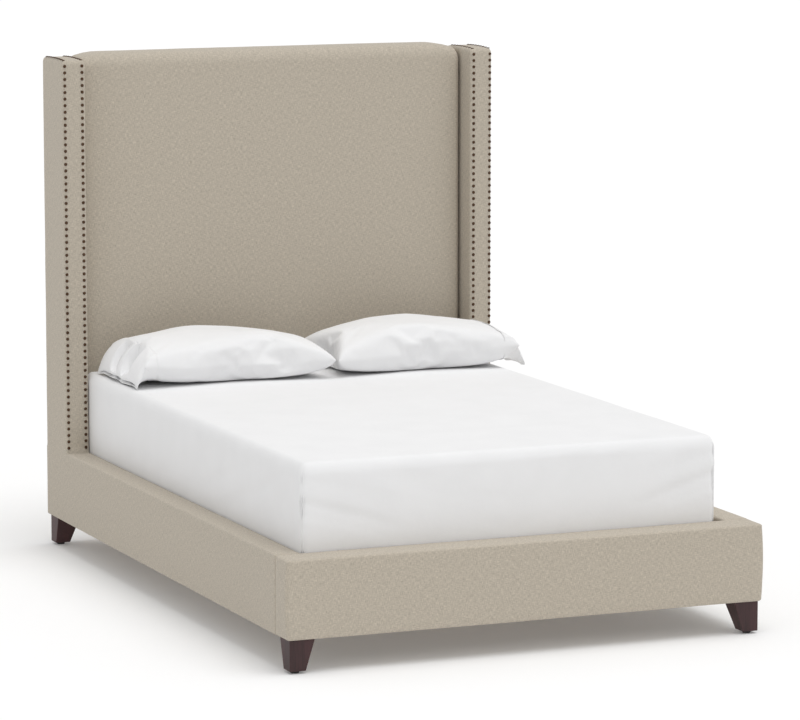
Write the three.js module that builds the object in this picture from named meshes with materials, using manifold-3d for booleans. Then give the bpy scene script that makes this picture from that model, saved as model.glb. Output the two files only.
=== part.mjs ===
// Upholstered wingback bed: padded headboard between two studded wings, padded rails on block legs,
// a slatted deck on a centre beam, and a mattress, fitted sheet and two pillows that lift off.
// Millimetres. +Z up, +Y towards the head, +X to the right seen from the foot. Origin on the floor.
import * as THREE from "three";
import { mergeVertices } from "three/addons/utils/BufferGeometryUtils.js";
import Module from "manifold-3d";

const wasm = await Module();
wasm.setup();

// ---- Driving dimensions ----------------------------------------------------------------------

const GAP = 0.3; // between faces that touch
const OVERRUN = 1; // how far a cutting or joined solid reaches past a face that it shares

const BED_WIDTH = 1565;
const BED_LENGTH = 2290;
const RAIL_THICKNESS = 81; // side rails and wings
const RAIL_HEIGHT = 241;
const RAIL_PAD = 18; // wadding and fabric around the rail and wing boards
const FOOTBOARD_THICKNESS = 102;
const PAD_EDGE_RADIUS = 8;
const WING_CORNER_RADIUS = 9;
const FOOTBOARD_CORNER_RADIUS = 10;

const HEADBOARD_TOP = 1685; // crown of the padded panel above the floor
const WING_TOP = 1669;
const WING_DEPTH = 221;
const WING_PAD = 9;
const WING_WALL = 16; // boards of the hollow wing box
const WING_BLOCK = 110; // solid foot of the wing box, which takes the leg bolt
const PANEL_SETBACK = 75; // headboard face behind the wings' front faces
const CROWN_HEIGHT = 42; // padding above the headboard frame
const CROWN_FRONT_RADIUS = 44;
const CROWN_BACK_RADIUS = 16;
const COVER_CLOTH = 3;
const BACK_CLOTH = 2;
const PLY_THICKNESS = 9;
const HEAD_FRAME_DEPTH = 57;
const HEAD_POST_WIDTH = 90;
const HEAD_RAIL_HEIGHT = 90;
const PAD_BOTTOM_DROP = 2; // padded panel starts this far above the side rails

const LEG_TOP = 80;
const LEG_FOOT = 51;
const LEG_HEIGHT = 94;
const LEG_INSET = 10;
const GLIDE_DIAMETER = 26;
const GLIDE_HEIGHT = 8;
const BOLT_DIAMETER = 10;
const BOLT_LENGTH = 90;
const BOLT_IN_LEG = 50;
const BOLT_CLEARANCE = 0.5;
const BOLT_END_ROOM = 5; // hole depth beyond each end of a bolt

const LEDGE_SIZE = 35;
const SLAT_COUNT = 10;
const SLAT_WIDTH = 95;
const SLAT_THICKNESS = 18;
const SLAT_END_CLEARANCE = 4;
const SLAT_END_MARGIN = 20;
const DECK_DROP = 45; // slat tops below the rail tops
const BEAM_WIDTH = 60;
const BEAM_HEIGHT = 42;
const HANGER_SHEET = 3;
const HANGER_DEPTH = 50;
const HANGER_FLANGE = 28;
const CENTRE_LEG_SIZE = 50;
const CENTRE_LEG_SPACING = 760;
const LEVELER_FOOT_DIAMETER = 34;
const LEVELER_FOOT_HEIGHT = 9;
const LEVELER_STEM_DIAMETER = 10;
const LEVELER_STEM_LENGTH = 40;

const BRACKET_SHEET = 4;
const BRACKET_ARM = 60;
const BRACKET_HEIGHT = 96;
const BRACKET_ABOVE_RAIL_FOOT = 20;

const MATTRESS_THICKNESS = 308;
const MATTRESS_EDGE_RADIUS = 38;
const MATTRESS_CORNER_RADIUS = 70;
const MATTRESS_SIDE_CLEARANCE = 2; // left rail and footboard
const MATTRESS_LOOSE_SIDE = 29; // gap left along the right rail
const MATTRESS_HEAD_CLEARANCE = 7;
const SHEET_CLOTH = 1.5;
const SHEET_LAP = 76; // turned in under the mattress

const PILLOW_HEM = 72;
const PILLOW_DEPTH = 424;
const PILLOW_LOFT = 170;
const PILLOW_SEAM_HEIGHT = 58; // seam above the mattress
const PILLOW_CLOTH = 2;
const PILLOW_WING_CLEARANCE = 6; // behind the pillows, and beside the left one
const PILLOW_MEETING_OFFSET = 34; // where the pillows meet, right of the middle
const PILLOW_MEETING_GAP = 2; // each pillow's tip from that line
const PILLOW_SQUARENESS = 3.4; // of its plan: 2 is an ellipse, and more is squarer
const PILLOW_FLAT = 0.8; // how far down its underside is flat, as a share of the ball it is drawn from
const HEM_DEPTH = 366;
const HEM_HEIGHT = 12;
const HEM_MOUTH = 3;

// ---- Levels and planes worked out from them --------------------------------------------------

const FRAME_BOTTOM = GLIDE_HEIGHT + LEG_HEIGHT + 2 * GAP;
const RAIL_TOP = FRAME_BOTTOM + RAIL_HEIGHT;
const HALF_WIDTH = BED_WIDTH / 2;
const INNER_HALF = HALF_WIDTH - RAIL_THICKNESS;
const HEAD_Y = BED_LENGTH / 2;
const FOOT_Y = -HEAD_Y;
const WELL_FOOT_Y = FOOT_Y + FOOTBOARD_THICKNESS;
const WING_FRONT_Y = HEAD_Y - WING_DEPTH;
const PANEL_FRONT_Y = WING_FRONT_Y + PANEL_SETBACK;
const RAIL_CENTRE_X = HALF_WIDTH - RAIL_THICKNESS / 2;

const LEG_CENTRE = LEG_INSET + LEG_TOP / 2; // from the bed's outer faces

const FRAME_BACK_Y = HEAD_Y - BACK_CLOTH - GAP;
const FRAME_FRONT_Y = FRAME_BACK_Y - HEAD_FRAME_DEPTH;
const PLY_FRONT_Y = FRAME_FRONT_Y - GAP - PLY_THICKNESS;
const FRAME_TOP = HEADBOARD_TOP - CROWN_HEIGHT;
const PAD_BOTTOM = RAIL_TOP + PAD_BOTTOM_DROP;

const DECK_TOP = RAIL_TOP - DECK_DROP;
const LEDGE_TOP = DECK_TOP - SLAT_THICKNESS - GAP;
const BEAM_BOTTOM = LEDGE_TOP - BEAM_HEIGHT;

const MATTRESS_BOTTOM = DECK_TOP + SHEET_CLOTH + 2 * GAP;
const MATTRESS_TOP = MATTRESS_BOTTOM + MATTRESS_THICKNESS;
const SHEET_TOP = MATTRESS_TOP + GAP + SHEET_CLOTH;
const MATTRESS_LEFT = -INNER_HALF + MATTRESS_SIDE_CLEARANCE + SHEET_CLOTH + GAP;
const MATTRESS_RIGHT = INNER_HALF - MATTRESS_LOOSE_SIDE - SHEET_CLOTH - GAP;
const MATTRESS_FOOT = WELL_FOOT_Y + MATTRESS_SIDE_CLEARANCE + SHEET_CLOTH + GAP;
const MATTRESS_HEAD = PANEL_FRONT_Y - MATTRESS_HEAD_CLEARANCE - SHEET_CLOTH - GAP;

// ---- Materials -------------------------------------------------------------------------------

const finish = (color, roughness, metalness = 0) =>
  new THREE.MeshStandardMaterial({ color, roughness, metalness });

const LINEN = () => finish(0xb8ae9b, 0.9);
const TIMBER = () => finish(0xc7a878, 0.7);
const PLYWOOD = () => finish(0xcbb188, 0.75);
const ESPRESSO = () => finish(0x483636, 0.4);
const FOAM = () => finish(0xe9dfc0, 0.95);
const STEEL = () => finish(0x8d8f92, 0.35, 0.9);
const NYLON = () => finish(0x1c1a1a, 0.5);
const WHITE_COTTON = () => finish(0xf2f2f1, 0.85);
const TICKING = () => finish(0xe4e2dc, 0.85);

// ---- Solids ----------------------------------------------------------------------------------

const bed = new THREE.Group();

function add(name, geometry, material, x = 0, y = 0, z = 0) {
  const mesh = new THREE.Mesh(geometry, material);
  mesh.name = name;
  mesh.position.set(x, y, z);
  bed.add(mesh);
  return mesh;
}

// A closed geometry as a manifold-3d solid, ready to be joined or cut.
function solidOf(geometry) {
  const bare = geometry.index ? geometry.toNonIndexed() : geometry.clone();
  bare.deleteAttribute("normal");
  bare.deleteAttribute("uv");
  const merged = mergeVertices(bare, 1e-4);
  return new wasm.Manifold(
    new wasm.Mesh({
      numProp: 3,
      vertProperties: new Float32Array(merged.attributes.position.array),
      triVerts: new Uint32Array(merged.index.array),
    }),
  );
}

function geometryOf(solid) {
  const { vertProperties, triVerts } = solid.getMesh();
  const geometry = new THREE.BufferGeometry();
  geometry.setAttribute("position", new THREE.BufferAttribute(new Float32Array(vertProperties), 3));
  geometry.setIndex(new THREE.BufferAttribute(new Uint32Array(triVerts), 1));
  const shaded = geometry.toNonIndexed();
  shaded.computeVertexNormals();
  return shaded;
}

const cut = (geometry, ...tools) =>
  geometryOf(tools.reduce((rest, tool) => rest.subtract(solidOf(tool)), solidOf(geometry)));

const join = (geometry, ...others) =>
  geometryOf(others.reduce((rest, other) => rest.add(solidOf(other)), solidOf(geometry)));

// A box between two corners.
function block(x0, x1, y0, y1, z0, z1) {
  const box = new THREE.BoxGeometry(x1 - x0, y1 - y0, z1 - z0);
  return box.translate((x0 + x1) / 2, (y0 + y1) / 2, (z0 + z1) / 2);
}

// An upright cylinder that stands on z0.
function drum(diameter, height, x, y, z0, segments = 20) {
  const cylinder = new THREE.CylinderGeometry(diameter / 2, diameter / 2, height, segments);
  return cylinder.rotateX(Math.PI / 2).translate(x, y, z0 + height / 2);
}

function roundedRectangle(width, depth, radius) {
  const x = width / 2;
  const y = depth / 2;
  const shape = new THREE.Shape();
  shape.moveTo(-x + radius, -y);
  shape.lineTo(x - radius, -y);
  shape.absarc(x - radius, -y + radius, radius, -Math.PI / 2, 0);
  shape.lineTo(x, y - radius);
  shape.absarc(x - radius, y - radius, radius, 0, Math.PI / 2);
  shape.lineTo(-x + radius, y);
  shape.absarc(-x + radius, y - radius, radius, Math.PI / 2, Math.PI);
  shape.lineTo(-x, -y + radius);
  shape.absarc(-x + radius, -y + radius, radius, Math.PI, Math.PI * 1.5);
  return shape;
}

// A slab between two corners, with its corners rounded in plan and its upper and lower edges rounded over.
function softSlab(x0, x1, y0, y1, z0, z1, cornerRadius, edgeRadius) {
  const inner = cornerRadius - edgeRadius;
  const plan = roundedRectangle(x1 - x0 - 2 * edgeRadius, y1 - y0 - 2 * edgeRadius, inner);
  const slab = new THREE.ExtrudeGeometry(plan, {
    depth: z1 - z0 - 2 * edgeRadius,
    bevelThickness: edgeRadius,
    bevelSize: edgeRadius,
    bevelSegments: 4,
    curveSegments: 4,
  });
  return slab.translate((x0 + x1) / 2, (y0 + y1) / 2, z0 + edgeRadius);
}

// ---- Headboard -------------------------------------------------------------------------------

function headboardFrame() {
  const half = INNER_HALF - GAP;
  const postInner = half - HEAD_POST_WIDTH;
  const railHalf = postInner - GAP;
  const y = [FRAME_FRONT_Y, FRAME_BACK_Y];
  add("headboard_post_left", block(-half, -postInner, ...y, FRAME_BOTTOM, FRAME_TOP), TIMBER());
  add("headboard_post_right", block(postInner, half, ...y, FRAME_BOTTOM, FRAME_TOP), TIMBER());
  const middle = (RAIL_TOP + FRAME_TOP - HEAD_RAIL_HEIGHT) / 2;
  const rail = (z0, z1) => block(-railHalf, railHalf, ...y, z0, z1);
  add("headboard_top_rail", rail(FRAME_TOP - HEAD_RAIL_HEIGHT, FRAME_TOP), TIMBER());
  add("headboard_middle_rail", rail(middle, middle + HEAD_RAIL_HEIGHT), TIMBER());
  add("headboard_bottom_rail", rail(FRAME_BOTTOM, RAIL_TOP), TIMBER());
  const ply = block(-half, half, PLY_FRONT_Y, FRAME_FRONT_Y - GAP, PAD_BOTTOM, FRAME_TOP);
  add("headboard_plywood", ply, PLYWOOD());
}

// Side view of the headboard padding: a slab that folds over the top of the frame.
// Drawn with y to the right and z up; lap is the inner face of the slab, shoulder the underside of the fold.
function padProfile({ front, bottom, lap, shoulder, back, top, frontRadius, backRadius }) {
  const shape = new THREE.Shape();
  shape.moveTo(front, bottom);
  shape.lineTo(lap, bottom);
  shape.lineTo(lap, shoulder);
  shape.lineTo(back, shoulder);
  shape.lineTo(back, top - backRadius);
  shape.absarc(back - backRadius, top - backRadius, backRadius, 0, Math.PI / 2);
  shape.lineTo(front + frontRadius, top);
  shape.absarc(front + frontRadius, top - frontRadius, frontRadius, Math.PI / 2, Math.PI);
  return shape;
}

// A side-view profile swept across the bed, centred on its middle.
function sweptAcross(profile, width) {
  const swept = new THREE.ExtrudeGeometry(profile, { depth: width, bevelEnabled: false, curveSegments: 6 });
  const [x, y, z] = [new THREE.Vector3(1, 0, 0), new THREE.Vector3(0, 1, 0), new THREE.Vector3(0, 0, 1)];
  return swept.translate(0, 0, -width / 2).applyMatrix4(new THREE.Matrix4().makeBasis(y, z, x));
}

function headboardPadding() {
  const width = 2 * (INNER_HALF - GAP);
  const lap = PLY_FRONT_Y - GAP;
  const outer = {
    front: PANEL_FRONT_Y,
    bottom: PAD_BOTTOM,
    lap,
    shoulder: FRAME_TOP + GAP,
    back: HEAD_Y,
    top: HEADBOARD_TOP,
    frontRadius: CROWN_FRONT_RADIUS,
    backRadius: CROWN_BACK_RADIUS,
  };
  const hollow = {
    front: outer.front + COVER_CLOTH,
    bottom: outer.bottom + COVER_CLOTH,
    lap: lap + OVERRUN,
    shoulder: FRAME_TOP - OVERRUN,
    back: outer.back - COVER_CLOTH,
    top: outer.top - COVER_CLOTH,
    frontRadius: outer.frontRadius - COVER_CLOTH,
    backRadius: outer.backRadius - COVER_CLOTH,
  };
  const foam = {
    ...hollow,
    front: hollow.front + GAP,
    bottom: hollow.bottom + GAP,
    lap,
    shoulder: outer.shoulder,
    back: hollow.back - GAP,
    top: hollow.top - GAP,
    frontRadius: hollow.frontRadius - GAP,
    backRadius: hollow.backRadius - GAP,
  };
  const hollowWidth = width - 2 * COVER_CLOTH;
  const cover = cut(sweptAcross(padProfile(outer), width), sweptAcross(padProfile(hollow), hollowWidth));
  add("headboard_cover", cover, LINEN());
  add("headboard_foam", sweptAcross(padProfile(foam), hollowWidth - 2 * GAP), FOAM());
  const half = width / 2;
  const back = block(-half, half, HEAD_Y - BACK_CLOTH, HEAD_Y, FRAME_BOTTOM, FRAME_TOP);
  add("headboard_back_cover", back, LINEN());
}

// ---- Wings -----------------------------------------------------------------------------------

const BOLT_HOLE_DIAMETER = BOLT_DIAMETER + 2 * BOLT_CLEARANCE;

const boltHole = (x, y) =>
  drum(BOLT_HOLE_DIAMETER, BOLT_LENGTH - BOLT_IN_LEG + BOLT_END_ROOM, x, y, FRAME_BOTTOM - OVERRUN);

// A tall box of boards, open at the back, on a solid block that takes the leg bolt.
function wingCore(side) {
  const x0 = RAIL_CENTRE_X - RAIL_THICKNESS / 2 + WING_PAD + GAP;
  const x1 = RAIL_CENTRE_X + RAIL_THICKNESS / 2 - WING_PAD - GAP;
  const y0 = WING_FRONT_Y + WING_PAD + GAP;
  const y1 = HEAD_Y - WING_PAD - GAP;
  const top = WING_TOP - WING_PAD - GAP;
  const body = block(x0, x1, y0, y1, FRAME_BOTTOM, top);
  const floor = FRAME_BOTTOM + WING_BLOCK;
  const hollow = block(
    x0 + WING_WALL,
    x1 - WING_WALL,
    y0 + WING_WALL,
    y1 + OVERRUN,
    floor,
    top - WING_WALL,
  );
  const core = cut(body, hollow, boltHole(HALF_WIDTH - LEG_CENTRE, HEAD_Y - LEG_CENTRE));
  return side < 0 ? mirrored(core) : core;
}

// Padded fabric around all four sides and the top of the wing box, open underneath.
function wingCover(side) {
  const outer = softSlab(
    INNER_HALF,
    HALF_WIDTH,
    WING_FRONT_Y,
    HEAD_Y,
    FRAME_BOTTOM - PAD_EDGE_RADIUS,
    WING_TOP,
    WING_CORNER_RADIUS,
    PAD_EDGE_RADIUS,
  );
  const pocket = block(
    INNER_HALF + WING_PAD,
    HALF_WIDTH - WING_PAD,
    WING_FRONT_Y + WING_PAD,
    HEAD_Y - WING_PAD,
    0,
    WING_TOP - WING_PAD,
  );
  const below = block(0, BED_WIDTH, 0, BED_LENGTH, 0, FRAME_BOTTOM);
  const cover = cut(outer, pocket, below);
  return side < 0 ? mirrored(cover) : cover;
}

// The same piece on the other side of the bed: x turned round and every face turned back outwards.
function mirrored(geometry) {
  const flipped = geometry.clone().scale(-1, 1, 1);
  const position = flipped.attributes.position;
  for (let i = 0; i < position.count; i += 3) {
    const [x, y, z] = [position.getX(i), position.getY(i), position.getZ(i)];
    position.setXYZ(i, position.getX(i + 1), position.getY(i + 1), position.getZ(i + 1));
    position.setXYZ(i + 1, x, y, z);
  }
  flipped.computeVertexNormals();
  return flipped;
}

// ---- Side rails and footboard ----------------------------------------------------------------

// End view of a padded rail: fabric over both faces and the top of its board, open underneath.
function railCoverProfile(thickness, pad) {
  const x = thickness / 2;
  const r = PAD_EDGE_RADIUS;
  const top = RAIL_TOP;
  const shape = new THREE.Shape();
  shape.moveTo(-x, FRAME_BOTTOM);
  shape.lineTo(-x + pad, FRAME_BOTTOM);
  shape.lineTo(-x + pad, top - pad);
  shape.lineTo(x - pad, top - pad);
  shape.lineTo(x - pad, FRAME_BOTTOM);
  shape.lineTo(x, FRAME_BOTTOM);
  shape.lineTo(x, top - r);
  shape.absarc(x - r, top - r, r, 0, Math.PI / 2);
  shape.lineTo(-x + r, top);
  shape.absarc(-x + r, top - r, r, Math.PI / 2, Math.PI);
  return shape;
}

function sideRail(name, side) {
  const y0 = WELL_FOOT_Y + GAP;
  const y1 = WING_FRONT_Y - GAP;
  const boardHalf = RAIL_THICKNESS / 2 - RAIL_PAD - GAP;
  const board = block(-boardHalf, boardHalf, y0, y1, FRAME_BOTTOM, RAIL_TOP - RAIL_PAD - GAP);
  add(`side_rail_${name}_board`, board, TIMBER(), side * RAIL_CENTRE_X);
  const profile = railCoverProfile(RAIL_THICKNESS, RAIL_PAD);
  const cover = new THREE.ExtrudeGeometry(profile, { depth: y1 - y0, bevelEnabled: false, curveSegments: 5 });
  cover.rotateX(Math.PI / 2).translate(0, y1, 0);
  add(`side_rail_${name}_cover`, cover, LINEN(), side * RAIL_CENTRE_X);
  const ledge = block(0, LEDGE_SIZE, y0, PANEL_FRONT_Y, LEDGE_TOP - LEDGE_SIZE, LEDGE_TOP);
  const ledgeX = side < 0 ? -INNER_HALF + GAP : INNER_HALF - GAP - LEDGE_SIZE;
  add(`slat_ledge_${name}`, ledge, TIMBER(), ledgeX);
}

function footboard() {
  const pad = RAIL_PAD;
  const y0 = FOOT_Y + pad + GAP;
  const y1 = WELL_FOOT_Y - pad - GAP;
  const half = HALF_WIDTH - pad - GAP;
  const board = block(-half, half, y0, y1, FRAME_BOTTOM, RAIL_TOP - pad - GAP);
  const holes = [-1, 1].map((side) => boltHole(side * (HALF_WIDTH - LEG_CENTRE), FOOT_Y + LEG_CENTRE));
  add("footboard_board", cut(board, ...holes), TIMBER());
  const outer = softSlab(
    -HALF_WIDTH,
    HALF_WIDTH,
    FOOT_Y,
    WELL_FOOT_Y,
    FRAME_BOTTOM - PAD_EDGE_RADIUS,
    RAIL_TOP,
    FOOTBOARD_CORNER_RADIUS,
    PAD_EDGE_RADIUS,
  );
  const pocket = block(-half - GAP, half + GAP, y0 - GAP, y1 + GAP, 0, RAIL_TOP - pad);
  const below = block(-BED_WIDTH, BED_WIDTH, -BED_LENGTH, 0, 0, FRAME_BOTTOM);
  add("footboard_cover", cut(outer, pocket, below), LINEN());
}

// ---- Legs ------------------------------------------------------------------------------------

// Two outer faces upright, two inner faces tapering to the foot. sideX and sideY point outwards.
function leg(name, sideX, sideY) {
  const x = sideX * (HALF_WIDTH - LEG_CENTRE);
  const y = sideY * (HEAD_Y - LEG_CENTRE);
  const bottom = GLIDE_HEIGHT + GAP;
  const box = new THREE.BoxGeometry(LEG_TOP, LEG_TOP, LEG_HEIGHT);
  const position = box.attributes.position;
  const taper = LEG_TOP - LEG_FOOT;
  for (let i = 0; i < position.count; i++) {
    if (position.getZ(i) > 0) continue;
    if (position.getX(i) * sideX < 0) position.setX(i, position.getX(i) + sideX * taper);
    if (position.getY(i) * sideY < 0) position.setY(i, position.getY(i) + sideY * taper);
  }
  box.translate(x, y, bottom + LEG_HEIGHT / 2);
  const boltFoot = FRAME_BOTTOM - GAP - BOLT_IN_LEG;
  const hole = drum(BOLT_HOLE_DIAMETER, BOLT_IN_LEG + BOLT_END_ROOM, x, y, boltFoot);
  add(`leg_${name}`, cut(box, hole), ESPRESSO());
  add(`leg_bolt_${name}`, drum(BOLT_DIAMETER, BOLT_LENGTH, x, y, boltFoot + GAP), STEEL());
  const shift = taper / 2;
  const glide = drum(GLIDE_DIAMETER, GLIDE_HEIGHT, x + sideX * shift, y + sideY * shift, 0, 24);
  add(`leg_glide_${name}`, glide, NYLON());
}

// ---- Slatted deck ----------------------------------------------------------------------------

function slats() {
  const half = INNER_HALF - SLAT_END_CLEARANCE;
  const first = WELL_FOOT_Y + SLAT_END_MARGIN + SLAT_WIDTH / 2;
  const last = PANEL_FRONT_Y - SLAT_END_MARGIN - SLAT_WIDTH / 2;
  const pitch = (last - first) / (SLAT_COUNT - 1);
  for (let i = 0; i < SLAT_COUNT; i++) {
    const y = first + i * pitch;
    const slat = block(-half, half, -SLAT_WIDTH / 2, SLAT_WIDTH / 2, LEDGE_TOP + GAP, DECK_TOP);
    add(`slat_${String(i + 1).padStart(2, "0")}`, slat, TIMBER(), 0, y);
  }
}

// A steel stirrup: a flange against the frame and a U under the beam. facing is 1 along +Y or -1 along -Y.
function beamHanger(name, y, facing) {
  const inner = BEAM_WIDTH / 2 + GAP;
  const outer = inner + HANGER_SHEET;
  const bottom = BEAM_BOTTOM - GAP - HANGER_SHEET;
  const top = LEDGE_TOP - GAP;
  const tray = block(-outer, outer, 0, HANGER_DEPTH, bottom, top);
  const seat = block(-inner, inner, HANGER_SHEET, HANGER_DEPTH + OVERRUN, BEAM_BOTTOM - GAP, top + OVERRUN);
  const flange = block(-outer - HANGER_FLANGE, outer + HANGER_FLANGE, 0, HANGER_SHEET, bottom, top);
  const hanger = join(cut(tray, seat), flange);
  if (facing < 0) hanger.rotateZ(Math.PI);
  add(`beam_hanger_${name}`, hanger, STEEL(), 0, y);
}

function centreBeam() {
  const footFace = WELL_FOOT_Y + GAP;
  const headFace = FRAME_FRONT_Y - GAP;
  const y0 = footFace + HANGER_SHEET + GAP;
  const y1 = headFace - HANGER_SHEET - GAP;
  const half = BEAM_WIDTH / 2;
  add("centre_beam", block(-half, half, y0, y1, BEAM_BOTTOM, LEDGE_TOP), TIMBER());
  beamHanger("foot", footFace, 1);
  beamHanger("head", headFace, -1);
  const middle = (y0 + y1) / 2;
  centreLeg("foot", middle - CENTRE_LEG_SPACING / 2);
  centreLeg("head", middle + CENTRE_LEG_SPACING / 2);
}

// A square post under the beam, standing on a screw leveler whose stem runs up inside it.
function centreLeg(name, y) {
  const half = CENTRE_LEG_SIZE / 2;
  const bottom = LEVELER_FOOT_HEIGHT + GAP;
  const post = block(-half, half, y - half, y + half, bottom, BEAM_BOTTOM - GAP);
  const boreTop = LEVELER_FOOT_HEIGHT + LEVELER_STEM_LENGTH + BOLT_END_ROOM;
  const bore = drum(LEVELER_STEM_DIAMETER + 2 * BOLT_CLEARANCE, boreTop, 0, y, 0);
  add(`centre_leg_${name}`, cut(post, bore), TIMBER());
  const foot = drum(LEVELER_FOOT_DIAMETER, LEVELER_FOOT_HEIGHT, 0, y, 0, 24);
  const stemLength = LEVELER_STEM_LENGTH + OVERRUN;
  const stem = drum(LEVELER_STEM_DIAMETER, stemLength, 0, y, LEVELER_FOOT_HEIGHT - OVERRUN);
  add(`leveler_${name}`, join(foot, stem), NYLON());
}

// ---- Rail brackets ---------------------------------------------------------------------------

const BRACKET_BOTTOM = FRAME_BOTTOM + BRACKET_ABOVE_RAIL_FOOT;

// An angle plate in the corner between a side rail and the footboard.
function footBracket(name, side) {
  const x = INNER_HALF - GAP;
  const y = WELL_FOOT_Y + GAP;
  const z = [BRACKET_BOTTOM, BRACKET_BOTTOM + BRACKET_HEIGHT];
  const alongRail = block(x - BRACKET_SHEET, x, y, y + BRACKET_ARM, ...z);
  const alongBoard = block(x - BRACKET_ARM, x, y, y + BRACKET_SHEET, ...z);
  const bracket = join(alongRail, alongBoard);
  add(`rail_bracket_foot_${name}`, side < 0 ? mirrored(bracket) : bracket, STEEL());
}

// A flat plate that spans the joint between a side rail and its wing.
function headBracket(name, side) {
  const x = side * (INNER_HALF - GAP - BRACKET_SHEET / 2);
  const plate = new THREE.BoxGeometry(BRACKET_SHEET, 2 * BRACKET_ARM, BRACKET_HEIGHT);
  add(`rail_bracket_head_${name}`, plate, STEEL(), x, WING_FRONT_Y, BRACKET_BOTTOM + BRACKET_HEIGHT / 2);
}

// ---- Mattress and sheet ----------------------------------------------------------------------

function mattress() {
  const x = [MATTRESS_LEFT, MATTRESS_RIGHT];
  const y = [MATTRESS_FOOT, MATTRESS_HEAD];
  const z = [MATTRESS_BOTTOM, MATTRESS_TOP];
  const slab = softSlab(...x, ...y, ...z, MATTRESS_CORNER_RADIUS, MATTRESS_EDGE_RADIUS);
  add("mattress", slab, TICKING());
  const grown = (by) =>
    softSlab(
      x[0] - by,
      x[1] + by,
      y[0] - by,
      y[1] + by,
      z[0] - by,
      z[1] + by,
      MATTRESS_CORNER_RADIUS + by,
      MATTRESS_EDGE_RADIUS + by,
    );
  const lap = SHEET_LAP;
  const under = z[0] - GAP - SHEET_CLOTH - OVERRUN;
  const opening = block(x[0] + lap, x[1] - lap, y[0] + lap, y[1] - lap, under, z[0]);
  add("fitted_sheet", cut(grown(GAP + SHEET_CLOTH), grown(GAP), opening), WHITE_COTTON());
}

// ---- Pillows ---------------------------------------------------------------------------------

// A plump rectangular cushion with a flattened underside. Its seam lies in the plane z = 0.
// It is a ball whose plan is drawn out to a superellipse.
function cushion(length, depth, above, below) {
  const ball = new THREE.SphereGeometry(1, 28, 16);
  ball.rotateX(Math.PI / 2);
  const position = ball.attributes.position;
  for (let i = 0; i < position.count; i++) {
    const [x, y, z] = [position.getX(i), position.getY(i), position.getZ(i)];
    const reach = Math.hypot(x, y) || 1;
    const corner = Math.abs(x / reach) ** PILLOW_SQUARENESS + Math.abs(y / reach) ** PILLOW_SQUARENESS;
    const spread = corner ** (-1 / PILLOW_SQUARENESS);
    const height = z < 0 ? (Math.max(z, -PILLOW_FLAT) / PILLOW_FLAT) * below : z * above;
    position.setXYZ(i, (x * spread * length) / 2, (y * spread * depth) / 2, height);
  }
  return ball;
}

// A filled insert inside a case whose hemmed mouth is at the outer end. side is -1 left, 1 right.
// Both lie just in front of the wings, so that they lift straight up. The left one starts in line with
// its wing's inner face, and the right one is as long and starts where the left one ends.
function pillow(name, side) {
  const reach = INNER_HALF - PILLOW_WING_CLEARANCE;
  const length = reach + PILLOW_MEETING_OFFSET - PILLOW_HEM - PILLOW_MEETING_GAP;
  const tip = PILLOW_MEETING_OFFSET + side * PILLOW_MEETING_GAP;
  const y = WING_FRONT_Y - PILLOW_WING_CLEARANCE - PILLOW_DEPTH / 2;
  const z = SHEET_TOP + GAP + PILLOW_SEAM_HEIGHT;
  const above = PILLOW_LOFT - PILLOW_SEAM_HEIGHT;
  const below = PILLOW_SEAM_HEIGHT;
  const shell = PILLOW_CLOTH;
  const room = cushion(length - 2 * shell, PILLOW_DEPTH - 2 * shell, above - shell, below - shell);
  const hemX = length / 2 + PILLOW_HEM;
  const body = cushion(length, PILLOW_DEPTH, above, below);
  const hemRoot = length / 4;
  const hem = block(hemRoot, hemX, -HEM_DEPTH / 2, HEM_DEPTH / 2, -HEM_HEIGHT / 2, HEM_HEIGHT / 2);
  const halfMouth = HEM_DEPTH / 2 - shell;
  const mouth = block(hemRoot, hemX + OVERRUN, -halfMouth, halfMouth, -HEM_MOUTH / 2, HEM_MOUTH / 2);
  const turned = (geometry) => (side < 0 ? geometry.rotateZ(Math.PI) : geometry);
  const x = tip + (side * length) / 2;
  add(`pillowcase_${name}`, turned(cut(join(body, hem), room, mouth)), WHITE_COTTON(), x, y, z);
  const trim = shell + GAP;
  const insert = cushion(length - 2 * trim, PILLOW_DEPTH - 2 * trim, above - trim, below - trim);
  add(`pillow_insert_${name}`, turned(insert), TICKING(), x, y, z);
}

// ---- Assembly --------------------------------------------------------------------------------

const SIDES = [
  ["left", -1],
  ["right", 1],
];

headboardFrame();
headboardPadding();
for (const [name, side] of SIDES) {
  add(`wing_${name}_core`, wingCore(side), PLYWOOD());
  add(`wing_${name}_cover`, wingCover(side), LINEN());
  sideRail(name, side);
  footBracket(name, side);
  headBracket(name, side);
  leg(`foot_${name}`, side, -1);
  leg(`head_${name}`, side, 1);
}
footboard();
slats();
centreBeam();
mattress();
for (const [name, side] of SIDES) pillow(name, side);

export default bed;
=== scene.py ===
"""Looks of the upholstered wingback bed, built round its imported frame. Metres, +Z up, +Y to the head."""
import math

import bpy
import numpy as np
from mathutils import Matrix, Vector, noise
from mathutils.bvhtree import BVHTree


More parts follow.
